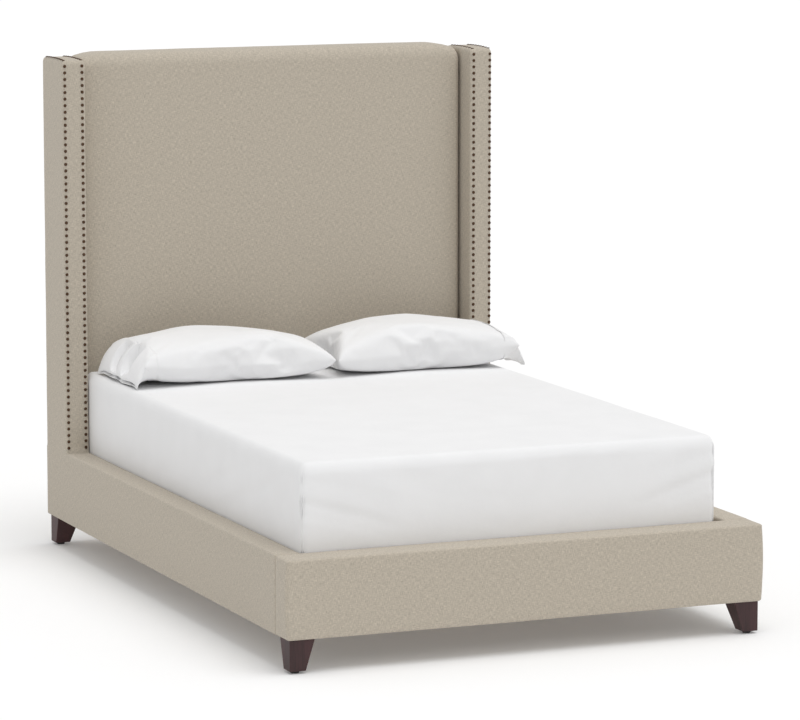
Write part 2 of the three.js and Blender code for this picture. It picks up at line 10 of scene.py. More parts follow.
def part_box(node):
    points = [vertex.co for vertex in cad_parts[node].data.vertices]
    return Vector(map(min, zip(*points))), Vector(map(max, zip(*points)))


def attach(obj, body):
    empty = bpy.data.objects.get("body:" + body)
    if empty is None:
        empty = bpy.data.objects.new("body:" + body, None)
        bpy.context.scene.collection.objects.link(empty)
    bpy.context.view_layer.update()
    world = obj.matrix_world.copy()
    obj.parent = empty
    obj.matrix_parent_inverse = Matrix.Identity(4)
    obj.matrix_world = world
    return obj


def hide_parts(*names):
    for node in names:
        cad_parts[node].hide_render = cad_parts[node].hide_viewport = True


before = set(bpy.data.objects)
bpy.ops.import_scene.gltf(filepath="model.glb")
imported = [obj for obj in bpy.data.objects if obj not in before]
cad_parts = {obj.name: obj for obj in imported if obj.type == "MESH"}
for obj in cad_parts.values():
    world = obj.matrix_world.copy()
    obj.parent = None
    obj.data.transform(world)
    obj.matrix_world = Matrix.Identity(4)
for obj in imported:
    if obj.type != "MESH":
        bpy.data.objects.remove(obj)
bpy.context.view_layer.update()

SIDES = {"left": -1, "right": 1}
ENDS = ("foot", "head")
MM = 0.001

# ---- Sizes that the frame doesn't carry ------------------------------------------------------

ARC_STEPS = 5  # facets round an edge, on each side of its 45-degree line
FABRIC_STEP = 0.03
SHEET_STEP = 0.012
UNDER_FOLD = 0.0012  # fabric turned under the rails, on top of the legs

RAIL_EDGE = 0.007
SEAM_EDGE = 0.005  # where two covers meet in a sewn seam
FOOT_CORNER = 0.013
END_PUFF = 0.006  # how far the footboard's padded ends stand out at half height
END_PUFF_LENGTH = 0.09
WING_EDGE = 0.011
WING_TOP_EDGE = 0.016
WING_CROWN = 0.004  # padding that stands up along the middle of a wing's top
PANEL_SIDE_EDGE = 0.026
PANEL_FRONT_EDGE = 0.046
PANEL_BACK_EDGE = 0.016
CROWN_DROOP = 0.021  # how far the crown falls away at its ends
CROWN_DROOP_LENGTH = 0.10
CROWN_DROOP_DEPTH = 0.14
COVER_CLOTH = 0.003
FOAM_GAP = 0.0003  # between the foam and the plywood behind it
BACK_EDGE = 0.0008
PUCKER_DEPTH = 0.0003  # fine unevenness of stretched fabric

NAIL_RADIUS = 0.0057
NAIL_HEIGHT = 0.0032
NAIL_STAND = 0.0002  # rim in front of the wing's nominal face, past its waves
NAIL_PITCH = 0.02186
NAIL_EDGE_OUTER = 0.0078  # nail rows in from the wing's faces
NAIL_EDGE_INNER = 0.0125
NAIL_FIRST = 0.018  # lowest nail above the rail
NAIL_SIDES = 10
NAIL_RINGS = 3

BRACKET_STEEL = 0.004
WASHER = {"radius": 0.011, "sides": 16, "base": 0.0, "top": 0.0018}
HEXAGON = {"radius": 0.0075, "sides": 6, "base": 0.0018, "top": 0.0078}

SHEET_CLOTH = 0.0015
SHEET_LAP = 0.076  # sheet turned in under the mattress
SHEET_ROOM = 0.008  # mattress sides behind the sheet's deepest folds
SHEET_EDGE = 0.042
SHEET_CORNER = 0.026
SEAM_CORD = 0.0014  # radius of each ridge of a corner seam
SEAM_SPREAD = 0.003  # ridge to the middle of the seam
SEAM_BED = 0.0003  # seam past the corner's own curve
FOLD_DEPTH = 0.005
FOLD_REACH = 0.35  # folds fade this far from the foot corners
MATTRESS_EDGE = 0.038
MATTRESS_CORNER = 0.036

CASE_FLAT = (0.70, 0.508)
CASE_STEP = 0.011
CASE_LIFT = 0.02  # half of what the two layers stand apart before the filling
CASE_PRESSURE = 1.4
CASE_FRAMES = 24
PILLOW_FULLNESS = 0.78  # below 1 lifts the shoulders of a pillow more than its crown
PILLOW_FLATNESS = 1.15  # above 1 widens the part of the underside that lies on the sheet
CROWN_SINK = {"left": 0.014, "right": 0.019}  # crown under the top of the CAD case
SEAM_HEIGHT = 0.058
MOUTH_LIFT = 0.020  # how far the filling holds the case's mouth up
MOUTH_REACH = 0.12
INSERT_SCALE = 0.975
INSERT_SHIFT = 0.2  # share of the way to the middle of the CAD insert
HEM_LENGTH = 0.074  # across the bed, from its stitching to the mouth
HEM_REACH = 0.020  # how far the mouth lies past the filling
HEM_INSET = {"left": 0.024, "right": 0.039}  # mouth in from the end of the CAD case
HEM_OPEN = 0.012  # gap at the mouth
HEM_NARROW = 0.985  # width at the stitching, as a share of the filled case there
HEM_GAP = 0.002  # cloth to cloth
HEM_CLOTH = 0.0014
HEM_WAVE = 0.003  # unevenness of the mouth's edge on the sheet
HEM_FLUTTER = 0.008  # loose waves along the sleeve
HEM_AHEAD = 0.012  # over this length the case's slope is taken
HEM_PULL = 0.45  # how long the sleeve keeps the slope of the case that it leaves
HEM_ROUND = 0.97  # how near to upright it falls at the mouth
HEM_ACROSS, HEM_OUT = 48, 16  # quads along the mouth and from stitching to mouth

SUN_STRENGTH = 1.41
SUN_SPREAD = math.radians(50)
SUN_TILT = (math.radians(11), math.radians(9), 0)
SKY_STRENGTH = 0.63
FLOOR_GLOW = 0.115
CAMERA_PLACE = (-5.1238, -12.4217, 2.6789)
CAMERA_TILT = math.radians(81.8)
CAMERA_TURN = math.radians(-22.6185)
CAMERA_LENS = 188.94

# ---- Mesh helpers ----------------------------------------------------------------------------


def new_object(name, verts, faces, uvs=None, smooth=True):
    """A mesh object with a list or array of vertices and faces, and a UV map in metres if given."""
    mesh = bpy.data.meshes.new(name)
    mesh.from_pydata([tuple(v) for v in verts], [], [tuple(int(i) for i in f) for f in faces])
    mesh.polygons.foreach_set("use_smooth", [smooth] * len(mesh.polygons))
    if uvs is not None:
        layer = mesh.uv_layers.new(name="weave")
        layer.data.foreach_set("uv", np.asarray(uvs, np.float32).ravel())
    mesh.update()
    obj = bpy.data.objects.new(name, mesh)
    bpy.context.scene.collection.objects.link(obj)
    return obj


def coords(obj):
    found = np.zeros(len(obj.data.vertices) * 3, np.float32)
    obj.data.vertices.foreach_get("co", found)
    return found.reshape(-1, 3).astype(float)


def set_coords(obj, points):
    obj.data.vertices.foreach_set("co", np.asarray(points, np.float32).ravel())
    obj.data.update()


def normals(obj):
    found = np.zeros(len(obj.data.vertices) * 3, np.float32)
    obj.data.vertices.foreach_get("normal", found)
    return found.reshape(-1, 3).astype(float)


def wander(points, scale, seed):
    """Smooth noise from -1 to 1 at each point. scale is one number or one for each axis."""
    stretched = points * np.asarray(scale, float) + seed
    return np.array([noise.noise(Vector(p)) for p in stretched])


def push(obj, amount):
    """Moves each vertex along its normal by the amount given for it."""
    set_coords(obj, coords(obj) + normals(obj) * np.asarray(amount)[:, None])


def grid_lines(planes, step):
    """Coordinates along one axis. planes holds (place, direction into the solid, radius)."""
    lines = []
    for place, inward, radius in planes:
        lines.append(place)
        if radius > 0:
            turn = [math.tan(math.pi / 4 * k / ARC_STEPS) for k in range(ARC_STEPS)]
            lines += [place + inward * radius * (1 - t) for t in turn]
    lines = sorted(lines)
    merged = [lines[0]]
    for value in lines[1:]:
        if value - merged[-1] > 0.1 * MM:
            merged.append(value)
    filled = [merged[0]]
    for value in merged[1:]:
        count = max(1, math.ceil((value - filled[-1]) / step - 1e-6))
        filled += list(np.linspace(filled[-1], value, count + 1)[1:])
    return np.array(filled)


def rounded(points, boxes):
    """Points of a union of boxes, moved in to give each box its edge radii."""
    best = np.full(len(points), np.inf)
    moved = points.copy()
    for low, high, low_radii, high_radii in boxes:
        middle = np.clip(points, low + low_radii, high - high_radii)
        away = points - middle
        radii = np.where(away < 0, low_radii, high_radii)
        unit = away / radii
        length = np.linalg.norm(unit, axis=1)
        nearer = length < best - 1e-9
        round_point = middle + radii * unit / np.maximum(length, 1e-9)[:, None]
        moved[nearer] = round_point[nearer]
        best = np.minimum(best, length)
    return moved


def soft_solid(name, boxes, step, leave_open=None):
    """Surface of a union of boxes with rounded edges, as quads, with its weave UVs in metres.
    Each box is (low, high, low radii, high radii). leave_open(centre, axis, sign) drops faces."""
    boxes = [tuple(np.array(part, float) for part in box) for box in boxes]
    lines = []
    for axis in range(3):
        planes = []
        for low, high, low_radii, high_radii in boxes:
            planes.append((low[axis], 1, low_radii[axis]))
            planes.append((high[axis], -1, high_radii[axis]))
        lines.append(grid_lines(planes, step))
    centres = [(a[1:] + a[:-1]) / 2 for a in lines]
    cx, cy, cz = np.meshgrid(*centres, indexing="ij")
    inside = np.zeros(cx.shape, bool)
    for low, high, _, _ in boxes:
        within = [(c > low[a]) & (c < high[a]) for a, c in enumerate((cx, cy, cz))]
        inside |= within[0] & within[1] & within[2]
    used, verts, faces, axes = {}, [], [], []

    def vertex(index):
        if index not in used:
            used[index] = len(verts)
            verts.append([lines[a][index[a]] for a in range(3)])
        return used[index]

    for axis in range(3):
        pad = [(1, 1) if a == axis else (0, 0) for a in range(3)]
        change = np.diff(np.pad(inside, pad).astype(int), axis=axis)
        b, c = (axis + 1) % 3, (axis + 2) % 3
        for found in np.argwhere(change):
            sign = -int(change[tuple(found)])
            corner = [0.0, 0.0, 0.0]
            corner[axis] = lines[axis][found[axis]]
            corner[b] = centres[b][found[b]]
            corner[c] = centres[c][found[c]]
            if leave_open and leave_open(corner, axis, sign):
                continue
            quad = []
            for db, dc in ((0, 0), (1, 0), (1, 1), (0, 1)):
                index = [int(i) for i in found]
                index[b] += db
                index[c] += dc
                quad.append(vertex(tuple(index)))
            faces.append(quad if sign > 0 else quad[::-1])
            axes.append(axis)
    verts = rounded(np.array(verts), boxes)
    across = {0: (1, 2), 1: (0, 2), 2: (0, 1)}
    uvs = [[verts[i][u] for u in across[axis]] for face, axis in zip(faces, axes) for i in face]
    return new_object(name, verts, faces, uvs)


def shell(obj, thickness, offset=-1):
    solidify = obj.modifiers.new("cloth", "SOLIDIFY")
    solidify.thickness = thickness
    solidify.offset = offset


def merge_into(name, parts, smooth=True):
    """One mesh object made of (vertices, faces) parts."""
    verts, faces = [], []
    for part_verts, part_faces in parts:
        start = len(verts)
        verts += [tuple(v) for v in part_verts]
        faces += [[i + start for i in face] for face in part_faces]
    return new_object(name, verts, faces, smooth=smooth)


def tube(path, radius, sides=6):
    """(vertices, faces) of a round tube along a list of points, with closed ends."""
    path = [Vector(p) for p in path]
    last = len(path) - 1
    verts, faces = [], []
    for i, point in enumerate(path):
        along = (path[min(i + 1, last)] - path[max(i - 1, 0)]).normalized()
        across = Vector((0, 0, 1)) if abs(along.z) < 0.9 else Vector((0, 1, 0))
        side = along.cross(across).normalized()
        over = side.cross(along)
        for k in range(sides):
            turn = 2 * math.pi * k / sides
            verts.append(point + (side * math.cos(turn) + over * math.sin(turn)) * radius)
    for i in range(last):
        a, b = i * sides, (i + 1) * sides
        for k in range(sides):
            n = (k + 1) % sides
            faces.append([a + k, b + k, b + n, a + n])
    faces.append(list(range(sides)))
    faces.append(list(range(last * sides, (last + 1) * sides))[::-1])
    return verts, faces


# ---- Materials -------------------------------------------------------------------------------


class Nodes:
    """Short calls for one material's node tree."""

    def __init__(self, name, roughness=0.5, **settings):
        self.material = bpy.data.materials.new(name)
        self.material.use_nodes = True
        self.tree = self.material.node_tree
        self.shader = self.tree.nodes["Principled BSDF"]
        self.shader.inputs["Roughness"].default_value = roughness
        for key, value in settings.items():
            self.shader.inputs[key.replace("_", " ")].default_value = value

    def add(self, kind, **inputs):
        node = self.tree.nodes.new(kind)
        for key, value in inputs.items():
            self.feed(node.inputs[key.replace("_", " ")], value)
        return node

    def feed(self, socket, value):
        if isinstance(value, bpy.types.NodeSocket):
            self.tree.links.new(value, socket)
        else:
            socket.default_value = value

    def math(self, operation, *values):
        node = self.tree.nodes.new("ShaderNodeMath")
        node.operation = operation
        for socket, value in zip(node.inputs, values):
            self.feed(socket, value)
        return node.outputs[0]

    def place(self, scale, uv=False):
        """Coordinates in metres times scale, from the weave UV map or the piece's own space."""
        source = self.add("ShaderNodeTexCoord").outputs["UV" if uv else "Object"]
        mapping = self.add("ShaderNodeMapping", Vector=source, Scale=scale)
        return mapping.outputs["Vector"]

    def noise(self, scale, uv=False, detail=2.0, rough=0.5):
        place = self.place(scale, uv)
        node = self.add("ShaderNodeTexNoise", Vector=place, Scale=1.0, Detail=detail, Roughness=rough)
        return node.outputs["Fac"]

    def ramp(self, value, stops):
        node = self.add("ShaderNodeValToRGB", Fac=value)
        elements = node.color_ramp.elements
        while len(elements) < len(stops):
            elements.new(0.5)
        for element, (place, colour) in zip(elements, stops):
            element.position = place
            element.color = (*colour, 1)
        return node.outputs["Color"]

    def colour(self, socket):
        self.tree.links.new(socket, self.shader.inputs["Base Color"])

    def bump(self, height, distance, strength=1.0):
        node = self.add("ShaderNodeBump", Height=height, Distance=distance, Strength=strength)
        self.tree.links.new(node.outputs["Normal"], self.shader.inputs["Normal"])


def shade(colour, factor):
    return tuple(min(1.0, c * factor) for c in colour)


LINEN_COLOUR = (0.50, 0.445, 0.365)
COTTON_COLOUR = (0.86, 0.86, 0.865)
STRIPE_PITCH = 0.024  # stripes of the ticking


def linen_material():
    """A plain linen weave: crossing threads about a millimetre apart, with thicker slubs among them."""
    m = Nodes("linen", roughness=0.92, Sheen_Weight=0.15, Sheen_Roughness=0.6)
    m.shader.inputs["Specular IOR Level"].default_value = 0.2
    warp = m.noise((1100, 70, 1), uv=True, detail=1)
    weft = m.noise((70, 1100, 1), uv=True, detail=1)
    slub_up = m.noise((520, 80, 1), uv=True, detail=1, rough=0.6)
    slub_over = m.noise((80, 520, 1), uv=True, detail=1, rough=0.6)
    threads = m.math("MULTIPLY", m.math("ADD", warp, weft), 0.5)
    slubs = m.math("MULTIPLY", m.math("ADD", slub_up, slub_over), 0.5)
    height = m.math("ADD", threads, slubs)
    tones = ((0.37, 0.74), (0.475, 0.94), (0.525, 1.05), (0.64, 1.32))
    stops = [(place, shade(LINEN_COLOUR, tone)) for place, tone in tones]
    m.colour(m.ramp(m.math("MULTIPLY", height, 0.5), stops))
    m.bump(height, 0.0012, 0.7)
    return m.material


def cotton_material():
    """Fine close cotton with a faint unevenness from washing."""
    m = Nodes("white_cotton", roughness=0.85, Sheen_Weight=0.1, Sheen_Roughness=0.5)
    m.shader.inputs["Specular IOR Level"].default_value = 0.25
    cloud = m.noise((9, 9, 9), detail=3)
    m.colour(m.ramp(cloud, [(0.3, shade(COTTON_COLOUR, 0.985)), (0.7, shade(COTTON_COLOUR, 1.01))]))
    threads = m.noise((1500, 1500, 1500), detail=1)
    crumple = m.noise((28, 28, 28), detail=3, rough=0.6)
    height = m.math("ADD", m.math("MULTIPLY", threads, 0.12), crumple)
    m.bump(height, 0.0018, 0.35)
    return m.material


def ticking_material():
    """Woven ticking with narrow stripes along the bed."""
    m = Nodes("ticking", roughness=0.85)
    place = m.place((1, 1, 1))
    split = m.add("ShaderNodeSeparateXYZ", Vector=place)
    wave = m.math("SINE", m.math("MULTIPLY", split.outputs["X"], 2 * math.pi / STRIPE_PITCH))
    stripe = m.math("MULTIPLY_ADD", wave, 0.5, 0.5)
    m.colour(m.ramp(stripe, [(0.80, (0.78, 0.765, 0.72)), (0.86, (0.33, 0.37, 0.43))]))
    m.bump(m.noise((600, 600, 600), detail=2), 0.0008, 0.5)
    return m.material


def foam_material():
    """Open-cell foam with fine pores."""
    m = Nodes("foam", roughness=0.95)
    pores = m.add("ShaderNodeTexVoronoi", Vector=m.place((420, 420, 420)), Scale=1.0)
    stops = [(0.05, (0.55, 0.46, 0.28)), (0.5, (0.80, 0.71, 0.50))]
    m.colour(m.ramp(pores.outputs["Distance"], stops))
    m.bump(pores.outputs["Distance"], 0.0012, 0.6)
    return m.material


def wood_material(name, dark, light, axis, roughness, fibre, coat=0.0):
    """Straight grain along one axis: broad bands of growth and fine pores along the fibres."""
    m = Nodes(name, roughness=roughness, Coat_Weight=coat, Coat_Roughness=0.25)
    band_scale = [14.0] * 3
    pore_scale = [fibre] * 3
    band_scale[axis] = 0.9
    pore_scale[axis] = fibre / 30
    bands = m.noise(band_scale, detail=5, rough=0.6)
    pores = m.noise(pore_scale, detail=3, rough=0.65)
    grain = m.math("ADD", m.math("MULTIPLY", bands, 0.6), m.math("MULTIPLY", pores, 0.4))
    middle = tuple((a + b) / 2 for a, b in zip(dark, light))
    m.colour(m.ramp(grain, [(0.38, dark), (0.5, middle), (0.64, light)]))
    m.bump(pores, 0.0006, 0.5)
    return m.material


def plywood_material():
    """Rotary-cut face veneer, with wide wavy figure up the board."""
    m = Nodes("plywood", roughness=0.7)
    figure = m.noise((9, 9, 1.1), detail=6, rough=0.55)
    pores = m.noise((700, 700, 26), detail=2)
    grain = m.math("ADD", m.math("MULTIPLY", figure, 0.75), m.math("MULTIPLY", pores, 0.25))
    stops = [(0.35, (0.46, 0.32, 0.17)), (0.5, (0.60, 0.44, 0.25)), (0.66, (0.70, 0.54, 0.33))]
    m.colour(m.ramp(grain, stops))
    m.bump(pores, 0.0004, 0.4)
    return m.material


def metal_material(name, dark, light, roughness, metallic, scale, relief):
    """Plated metal with fine scratches and slight clouding."""
    m = Nodes(name, roughness=roughness, Metallic=metallic)
    cloud = m.noise((scale, scale, scale), detail=4, rough=0.6)
    m.colour(m.ramp(cloud, [(0.35, dark), (0.65, light)]))
    m.bump(m.noise((900, 900, 60), detail=2), relief, 0.3)
    return m.material


def nylon_material():
    """Black moulded nylon with a fine grain."""
    m = Nodes("nylon", roughness=0.5)
    grain = m.noise((900, 900, 900), detail=2)
    m.colour(m.ramp(grain, [(0.3, (0.012, 0.011, 0.011)), (0.7, (0.022, 0.020, 0.020))]))
    m.bump(grain, 0.0003, 0.4)
    return m.material


LINEN = linen_material()
COTTON = cotton_material()
TICKING = ticking_material()
FOAM = foam_material()
PLYWOOD = plywood_material()
PINE = [
    wood_material("pine_" + axis, (0.45, 0.29, 0.14), (0.72, 0.54, 0.32), i, 0.65, 420)
    for i, axis in enumerate("xyz")
]
ESPRESSO = wood_material("espresso_wood", (0.024, 0.008, 0.008), (0.068, 0.022, 0.024), 2, 0.5, 520)
STEEL = metal_material("zinc_steel", (0.48, 0.48, 0.49), (0.62, 0.62, 0.63), 0.36, 0.9, 60, 0.0002)
BRONZE = metal_material("nail_bronze", (0.055, 0.030, 0.018), (0.13, 0.075, 0.045), 0.34, 0.85, 420, 0.0003)
NYLON = nylon_material()


def finish_piece(obj, material, slot, body, *stands_for):
    """Gives a piece its material, its body, and the nodes that it stands for. The slot argument is not
    used.
    """
    obj.data.materials.clear()
    obj.data.materials.append(material)
    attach(obj, body)
    if stands_for:
        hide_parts(*stands_for)


# ---- Upholstered frame -----------------------------------------------------------------------


def padding_waves(points, depth, scale, seed, pucker_scale, pucker_seed):
    """Broad waves of the padding, with fine puckers of the fabric over them."""
    return depth * wander(points, scale, seed) + PUCKER_DEPTH * wander(points, pucker_scale, pucker_seed)


def side_cover(side, sign):
    """One cover for a side rail and its wing: a single run of fabric outside, with softened edges."""
    rail_low, rail_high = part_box(f"side_rail_{side}_cover")
    wing_low, wing_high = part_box(f"wing_{side}_cover")
    bottom = rail_low.z - UNDER_FOLD
    edge = (RAIL_EDGE, SEAM_EDGE, RAIL_EDGE)
    rail = ((rail_low.x, rail_low.y, bottom), (rail_high.x, wing_high.y, rail_high.z), edge, edge)
    wing_edge = (WING_EDGE, WING_EDGE, RAIL_EDGE)
    wing_top = (WING_EDGE, WING_EDGE, WING_TOP_EDGE)
    wing = ((wing_low.x, wing_low.y, bottom), tuple(wing_high), wing_edge, wing_top)
    obj = soft_solid(f"side_cover_{side}", [rail, wing], FABRIC_STEP)
    points = coords(obj)
    push(obj, padding_waves(points, 0.6 * MM, (5, 7, 7), 3.0 * sign, 24, 9.0 * sign))
    points = coords(obj)
    depth = (points[:, 1] - wing_low.y) / (wing_high.y - wing_low.y)
    on_top = np.clip((points[:, 2] - wing_high.z) / WING_TOP_EDGE + 1, 0, 1)
    points[:, 2] += WING_CROWN * on_top * np.clip(4 * depth * (1 - depth), 0, 1)
    set_coords(obj, points)
    finish_piece(obj, LINEN, "linen", "bed_frame", f"side_rail_{side}_cover", f"wing_{side}_cover")


def footboard_cover():
    """The padded footboard, whose ends stand out a little at half height."""
    low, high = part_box("footboard_cover")
    radii = (FOOT_CORNER, FOOT_CORNER, RAIL_EDGE)
    inner = (FOOT_CORNER, SEAM_EDGE, RAIL_EDGE)
    box = ((low.x, low.y, low.z - UNDER_FOLD), tuple(high), radii, inner)
    obj = soft_solid("footboard_fabric", [box], FABRIC_STEP)
    points = coords(obj)
    push(obj, padding_waves(points, 0.7 * MM, (4, 7, 7), 21.0, 24, 5.0))
    points = coords(obj)
    height = (points[:, 2] - low.z) / (high.z - low.z)
    to_end = (np.abs(points[:, 0]) - high.x) / END_PUFF_LENGTH + 1
    full = np.clip(4 * height * (1 - height), 0, 1) * np.clip(to_end, 0, 1) ** 2
    forward = np.clip((high.y - points[:, 1]) / (high.y - low.y), 0, 1)
    points[:, 0] += np.sign(points[:, 0]) * END_PUFF * full * forward
    set_coords(obj, points)
    finish_piece(obj, LINEN, "linen", "bed_frame", "footboard_cover")


def droop(obj, high):
    """Lets the crown of the padding fall away towards its two ends."""
    points = coords(obj)
    outward = np.clip((np.abs(points[:, 0]) - high.x) / CROWN_DROOP_LENGTH + 1, 0, 1)
    upward = np.clip((points[:, 2] - high.z) / CROWN_DROOP_DEPTH + 1, 0, 1)
    points[:, 2] -= CROWN_DROOP * outward**2 * upward
    set_coords(obj, points)


def headboard_panel():
    """The padded panel's cover, open behind below its stapled hem, over its foam."""
    low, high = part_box("headboard_cover")
    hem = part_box("headboard_back_cover")[1].z
    front = (PANEL_SIDE_EDGE, PANEL_FRONT_EDGE, COVER_CLOTH)
    back = (PANEL_SIDE_EDGE, PANEL_BACK_EDGE, PANEL_FRONT_EDGE)

    def open_behind(centre, axis, sign):
        return (axis == 1 and sign > 0 and centre[2] < hem) or (axis == 2 and sign < 0)

    obj = soft_solid("headboard_panel_fabric", [(low, high, front, back)], FABRIC_STEP, open_behind)
    points = coords(obj)
    push(obj, padding_waves(points, 1.2 * MM, 2.5, 4.0, 20, 7.0))
    droop(obj, high)
    shell(obj, COVER_CLOTH)
    finish_piece(obj, LINEN, "linen", "bed_frame", "headboard_cover")

    foam_low, foam_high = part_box("headboard_foam")
    ply_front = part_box("headboard_plywood")[0].y
    foam_back = (foam_high.x, ply_front - FOAM_GAP, foam_high.z)
    side_radius, front_radius = PANEL_SIDE_EDGE - COVER_CLOTH, PANEL_FRONT_EDGE - COVER_CLOTH
    front = (side_radius, front_radius, COVER_CLOTH)
    top = (side_radius, COVER_CLOTH, front_radius)
    obj = soft_solid("headboard_padding", [(foam_low, foam_back, front, top)], FABRIC_STEP * 2)
    droop(obj, high)
    finish_piece(obj, FOAM, "foam", "bed_frame", "headboard_foam")


def back_cover():
    """The flat cloth behind the headboard, turned in at its edges."""
    low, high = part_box("headboard_back_cover")
    edge = (BACK_EDGE,) * 3
    obj = soft_solid("headboard_back_fabric", [(low, high, edge, edge)], FABRIC_STEP * 2)
    finish_piece(obj, LINEN, "linen", "bed_frame", "headboard_back_cover")


def dome(centre, out):
    """(vertices, faces) of one nail head, with its rim on the fabric."""
    out = Vector(out)
    side = out.orthogonal().normalized()
    over = out.cross(side)
    verts, faces = [], []
    for ring in range(NAIL_RINGS):
        lift = math.pi / 2 * ring / NAIL_RINGS
        for k in range(NAIL_SIDES):
            turn = 2 * math.pi * k / NAIL_SIDES
            flat = (side * math.cos(turn) + over * math.sin(turn)) * NAIL_RADIUS * math.cos(lift)
            verts.append(centre + flat + out * NAIL_HEIGHT * math.sin(lift))
    verts.append(centre + out * NAIL_HEIGHT)
    for ring in range(NAIL_RINGS - 1):
        for k in range(NAIL_SIDES):
            a, b = ring * NAIL_SIDES + k, ring * NAIL_SIDES + (k + 1) % NAIL_SIDES
            faces.append([a, b, b + NAIL_SIDES, a + NAIL_SIDES])
    last = (NAIL_RINGS - 1) * NAIL_SIDES
    for k in range(NAIL_SIDES):
        faces.append([last + k, last + (k + 1) % NAIL_SIDES, len(verts) - 1])
    faces.append(list(range(NAIL_SIDES))[::-1])
    return verts, faces


def nail_trim(side, sign):
    """Two rows of nails up the wing's front and back over its top."""
    low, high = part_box(f"wing_{side}_cover")
    rail_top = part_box(f"side_rail_{side}_cover")[1].z
    outer_x = high.x if sign > 0 else low.x
    inner_x = low.x if sign > 0 else high.x
    rows = {"outer": outer_x - sign * NAIL_EDGE_OUTER, "inner": inner_x + sign * NAIL_EDGE_INNER}
    for row, x in rows.items():
        nails = []
        z = rail_top + NAIL_FIRST
        while z < high.z - WING_TOP_EDGE / 2:
            nails.append(dome(Vector((x, low.y - NAIL_STAND, z)), (0, -1, 0)))
            z += NAIL_PITCH
        y = low.y + WING_EDGE + NAIL_RADIUS / 2
        while y < high.y - WING_EDGE:
            depth = (y - low.y) / (high.y - low.y)
            crown = WING_CROWN * 4 * depth * (1 - depth)
            nails.append(dome(Vector((x, y, high.z + crown)), (0, 0, 1)))
            y += NAIL_PITCH
        obj = merge_into(f"nails_{side}_{row}", nails)
        finish_piece(obj, BRONZE, "nail_bronze", "bed_frame")


# ---- Mattress, sheet and pillows -------------------------------------------------------------


def bedding_block(name, low, high, edge, corner, step, leave_open=None):
    """A mattress-like block, with upright corners of one radius and upper and lower edges of another."""
    radii = (corner, corner, edge)
    return soft_solid(name, [(low, high, radii, radii)], step, leave_open)


def mattress():
    """The mattress in its ticking, whose sides keep clear of the sheet's folds."""
    low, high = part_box("mattress")
    inset = Vector((SHEET_ROOM, SHEET_ROOM, 0))
    low, high = low + inset, high - inset
    obj = bedding_block("mattress_ticking", low, high, MATTRESS_EDGE, MATTRESS_CORNER, FABRIC_STEP)
    finish_piece(obj, TICKING, "ticking", "mattress_body", "mattress")


def cloth_folds(points, low, high):
    """How far the sheet stands off the mattress: soft folds that slant down from its foot corners."""
    height = (points[:, 2] - low[2]) / (high[2] - low[2])
    half_way = np.clip(1.5 - 3 * np.abs(height - 0.5), 0, 1)  # full at half height, none at the edges
    to_foot = points[:, 1] - low[1]
    to_side = np.minimum(points[:, 0] - low[0], high[0] - points[:, 0])
    on_front = to_foot < SHEET_CORNER / 2
    on_sides = to_side < SHEET_CORNER / 2
    along = np.where(on_front, to_side, to_foot)
    slant = [along * 3.2 + height * 3.4, along * 0.9, height * 0.5 + on_front * 5.0]
    slant = np.stack(slant, axis=1)
    fold = wander(slant, 1.6, 2.0) + 0.5 * wander(slant, 3.4, 6.0)
    strength = 0.25 + np.exp(-along / FOLD_REACH)
    loose = FOLD_DEPTH * half_way * (on_front | on_sides) * fold * strength
    return loose + 1.2 * MM * wander(points, 3.0, 5.0)


def corner_seam(low, high, sx, sy):
    """The two ridges of the seam at one corner of the sheet, up its side and over its upper edge."""
    reach = SHEET_CORNER * (1 - math.sqrt(0.5)) - SEAM_BED
    x = (high.x if sx > 0 else low.x) - sx * reach
    y = (high.y if sy > 0 else low.y) - sy * reach
    top = high.z - SHEET_EDGE
    path = [Vector((x, y, z)) for z in np.linspace(low.z + SHEET_EDGE, top, 24)]
    inward = Vector((-sx, -sy, 0)).normalized()
    for k in range(1, 7):
        angle = math.pi / 2 * k / 7
        back = inward * SHEET_EDGE * (1 - math.cos(angle))
        path.append(Vector((x + back.x, y + back.y, top + SHEET_EDGE * math.sin(angle))))
    spread = Vector((-sx * sy, 1, 0)).normalized() * SEAM_SPREAD
    return [tube([p + spread * way for p in path], SEAM_CORD) for way in (-1, 1)]


def fitted_sheet():
    """The sheet round the mattress, turned in under it, with a seam at each corner."""
    low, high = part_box("fitted_sheet")

    def open_below(centre, axis, sign):
        within = all(low[a] + SHEET_LAP < centre[a] < high[a] - SHEET_LAP for a in (0, 1))
        return axis == 2 and sign < 0 and within

    obj = bedding_block("sheet", low, high, SHEET_EDGE, SHEET_CORNER, SHEET_STEP, open_below)
    push(obj, cloth_folds(coords(obj), low, high))
    set_coords(obj, np.clip(coords(obj), low, high))
    shell(obj, SHEET_CLOTH)
    finish_piece(obj, COTTON, "white_cotton", "mattress_body", "fitted_sheet")

    ridges = [ridge for sx in (-1, 1) for sy in (-1, 1) for ridge in corner_seam(low, high, sx, sy)]
    seam = merge_into("sheet_corner_seams", ridges)
    finish_piece(seam, COTTON, "white_cotton", "mattress_body")


